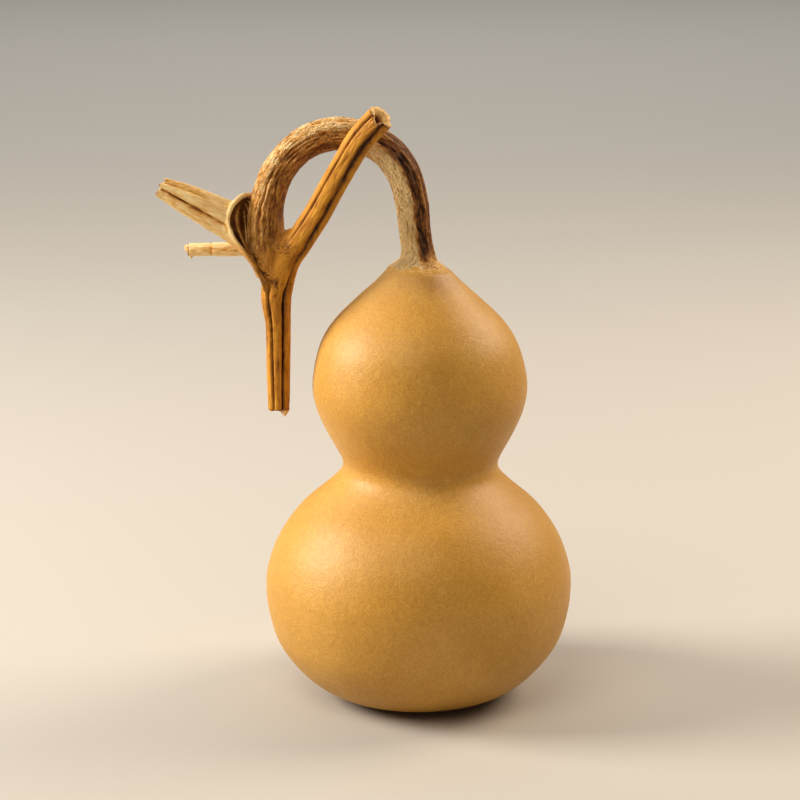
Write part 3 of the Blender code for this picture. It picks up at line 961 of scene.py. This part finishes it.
def dryStemBark(name, settings):
    # Dried gourd peduncle and vine: woody, ribbed, cream on the rubbed crests and brown in the furrows.
    # In a colour Mix node, 0 is the share, 6 and 7 are the colours, and the result is output 2.
    material, tree = newMaterial(name)
    fibre = addNode(tree, "Attribute", attribute_name="fibre").outputs["Vector"]
    furrow, vine, torn, skin = [addNode(tree, "Attribute", attribute_name=layer).outputs["Fac"]
                                for layer in ("furrow", "vineShare", "torn", "skin")]
    shortness, unevenness, relief = [
        addNode(tree, "MapRange", {"Value": vine, "To Min": onStalk, "To Max": onVine}).outputs[0]
        for onStalk, onVine in (settings["shortness"], settings["unevenness"], settings["relief"])]
    stretch = addNode(tree, "CombineXYZ", {"X": 1.0, "Y": 1.0, "Z": shortness}).outputs[0]
    long = addNode(tree, "VectorMath", {0: fibre, 1: stretch}, operation="MULTIPLY").outputs[0]
    wrinkles, grain, weathering = [
        addNode(tree, "TexNoise", {"Vector": places, "Scale": settings[size] / mm,
                                   "Detail": detail}).outputs[0]
        for places, size, detail in (
            (long, "wrinkles", 3.0), (long, "grain", 3.0), (fibre, "weathering", 2.0))]

    worn = addNode(tree, "Math", {0: wrinkles, 1: 0.5}, operation="SUBTRACT").outputs[0]
    shade = addNode(tree, "Math", {0: worn, 1: unevenness, 2: furrow}, operation="MULTIPLY_ADD").outputs[0]
    cloud = addNode(tree, "Math", {0: weathering, 1: 0.5}, operation="SUBTRACT").outputs[0]
    shade = addNode(tree, "Math", {0: cloud, 1: settings["cloudiness"], 2: shade},
                    operation="MULTIPLY_ADD").outputs[0]
    shade = addNode(tree, "Math", {0: shade, 1: settings["darkness"]}, operation="ADD").outputs[0]
    stalkColour = addNode(tree, "ValToRGB", {"Fac": shade}, settings["stalk"]).outputs["Color"]
    vineColour = addNode(tree, "ValToRGB", {"Fac": shade}, settings["vine"]).outputs["Color"]
    cream = addNode(tree, "ValToRGB", {"Fac": grain}, settings["torn"]).outputs["Color"]
    lip = addNode(tree, "MapRange", {"Value": torn, "From Min": 0.5, "From Max": 1.0}).outputs[0]
    opened = addNode(tree, "MapRange", {"Value": torn, "From Min": 0.0, "From Max": 0.5}).outputs[0]
    bark = addNode(tree, "Mix", {0: vine, 6: stalkColour, 7: vineColour}, data_type="RGBA").outputs[2]
    bark = addNode(tree, "Mix", {0: skin, 6: bark, 7: linearColour(settings["skin"])},
                   data_type="RGBA").outputs[2]
    bare = addNode(tree, "Mix", {0: lip, 6: linearColour(settings["pith"]), 7: cream},
                   data_type="RGBA").outputs[2]
    colour = addNode(tree, "Mix", {0: opened, 6: bark, 7: bare}, data_type="RGBA").outputs[2]

    relief = addNode(tree, "MapRange", {"Value": skin, "To Min": relief,
                                        "To Max": settings["skinRelief"]}).outputs[0]
    fine = addNode(tree, "Bump", {"Height": grain, "Strength": relief,
                                  "Distance": settings["grainDepth"] * mm}).outputs["Normal"]
    coarse = addNode(tree, "Bump", {"Height": wrinkles, "Strength": relief, "Normal": fine,
                                    "Distance": settings["wrinkleDepth"] * mm}).outputs["Normal"]
    finishMaterial(tree, {"Base Color": colour, "Roughness": settings["roughness"], "IOR": settings["ior"],
                          "Specular IOR Level": settings["specular"], "Normal": coarse})
    return material


skinSettings = {
    # marks in each mm: 22 mm clouds, 2.4 mm mottling, 0.6 mm grain
    "clouds": 0.045,
    "mottling": 0.42,
    "grain": 1.7,
    "cloudColours": ((0.32, "#CE993A"), (0.68, "#D8A64C")),
    "grainColours": ((0.35, "#E4DCCF"), (0.65, "#FFFFFF")),   # multiplied in
    "grainShare": 0.8,
    "dark": "#AC7624",
    "freckles": (-0.5, 0.42),           # share of dark: its change with the mottling, and where it starts
    # the pale skin round the crown: its middle in mm, where it starts and is full in mm, and its share
    "pale": "#DCB068",
    "paleAt": (0, 0, 147),
    "paleOver": (22, 8),
    "paleShare": 0.6,
    # a painted shadow of the stalk below it, brown, flattened by stalkShadowShape, with an edge made ragged
    # by the mottling
    "stalkShadow": "#96621C",
    "stalkShadowAt": (5.5, -12.2, 143.4),
    "stalkShadowShape": (0.85, 0.6, 2.2),
    "stalkShadowOver": (16, 6),
    "stalkShadowRagged": 8,
    "stalkShadowShare": 0.5,
    "grainRelief": (0.5, 0.22),         # strength, mm
    "mottlingRelief": (0.35, 0.4),
    "roughness": 0.48,
    "specular": 0.42,
    "ior": 1.5,
}


def driedGourdSkin(settings):
    # Dried bottle-gourd skin, scraped and rubbed smooth: waxy ochre, satin, with a fine leathery grain
    material, tree = newMaterial("driedGourdSkin")
    where = addNode(tree, "TexCoord").outputs["Object"]
    clouds, mottling, grain = [
        addNode(tree, "TexNoise", {"Vector": where, "Scale": settings[size] / mm,
                                   "Detail": detail}).outputs[0]
        for size, detail in (("clouds", 3.0), ("mottling", 3.0), ("grain", 2.0))]
    base = addNode(tree, "ValToRGB", {"Fac": clouds}, settings["cloudColours"]).outputs["Color"]

    change, start = settings["freckles"]
    freckle = addNode(tree, "Math", {0: mottling, 1: change, 2: start}, operation="MULTIPLY_ADD").outputs[0]
    paleAt, stalkShadowAt = [tuple(side * mm for side in settings[spot]) for spot in ("paleAt", "stalkShadowAt")]
    toCrown = addNode(tree, "VectorMath", {0: where, 1: paleAt}, operation="DISTANCE").outputs["Value"]
    toStalkShadow = addNode(tree, "VectorMath", {0: where, 1: stalkShadowAt}, operation="SUBTRACT").outputs[0]
    toStalkShadow = addNode(tree, "VectorMath", {0: toStalkShadow, 1: settings["stalkShadowShape"]},
                       operation="MULTIPLY").outputs[0]
    toStalkShadow = addNode(tree, "VectorMath", {0: toStalkShadow}, operation="LENGTH").outputs["Value"]
    toStalkShadow = addNode(tree, "Math", {0: mottling, 1: settings["stalkShadowRagged"] * mm, 2: toStalkShadow},
                       operation="MULTIPLY_ADD").outputs[0]
    # a pale crown, and a painted shadow of the stalk below it
    crown, paintedShadow = [
        addNode(tree, "MapRange", {"Value": away, "From Min": settings[spot + "Over"][0] * mm,
                                   "From Max": settings[spot + "Over"][1] * mm,
                                   "To Max": settings[spot + "Share"]}).outputs[0]
        for away, spot in ((toCrown, "pale"), (toStalkShadow, "stalkShadow"))]
    for share, colour in ((freckle, "dark"), (crown, "pale"), (paintedShadow, "stalkShadow")):
        base = addNode(tree, "Mix", {0: share, 6: base, 7: linearColour(settings[colour])},
                       data_type="RGBA").outputs[2]
    speck = addNode(tree, "ValToRGB", {"Fac": grain}, settings["grainColours"]).outputs["Color"]
    base = addNode(tree, "Mix", {0: settings["grainShare"], 6: base, 7: speck}, data_type="RGBA",
                   blend_type="MULTIPLY").outputs[2]

    strength, depth = settings["grainRelief"]
    fine = addNode(tree, "Bump", {"Height": grain, "Strength": strength,
                                  "Distance": depth * mm}).outputs["Normal"]
    strength, depth = settings["mottlingRelief"]
    coarse = addNode(tree, "Bump", {"Height": mottling, "Strength": strength, "Distance": depth * mm,
                                    "Normal": fine}).outputs["Normal"]
    finishMaterial(tree, {"Base Color": base, "Roughness": settings["roughness"], "IOR": settings["ior"],
                          "Specular IOR Level": settings["specular"], "Normal": coarse})
    return material


def placePiece(piece, material, slot, *nodes):
    piece.data.materials.clear()
    piece.data.materials.append(material)
    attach(piece, "root")
    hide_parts(*nodes)
    print(piece.name, "is shaped:", len(piece.data.polygons), "faces")


def main():
    bpy.context.scene.view_settings.view_transform = "Standard"
    addCamera(cameraSettings)
    addLights()
    addStage(stageSettings)
    print("camera, lights and floor are ready")
    bark = dryStemBark("driedVineBark", barkSettings)
    paleLitBark = dryStemBark("driedLeafStalkBarkPaleAndLit", leafStalkPaleLitBark)
    placePiece(makeGourd(gourdSettings), driedGourdSkin(skinSettings), "gourd_skin", "gourd_body")
    placePiece(makeStem(stemSettings), bark, "dry_stem", "fruit_stalk", "vine_stem")
    placePiece(makeLeafStalk(leafStalkSettings), paleLitBark, "dry_stem", "leaf_stalk_stub")
    placePiece(makeSideShoot(sideShootSettings), paleLitBark, "dry_stem", "side_shoot_stub")


main()
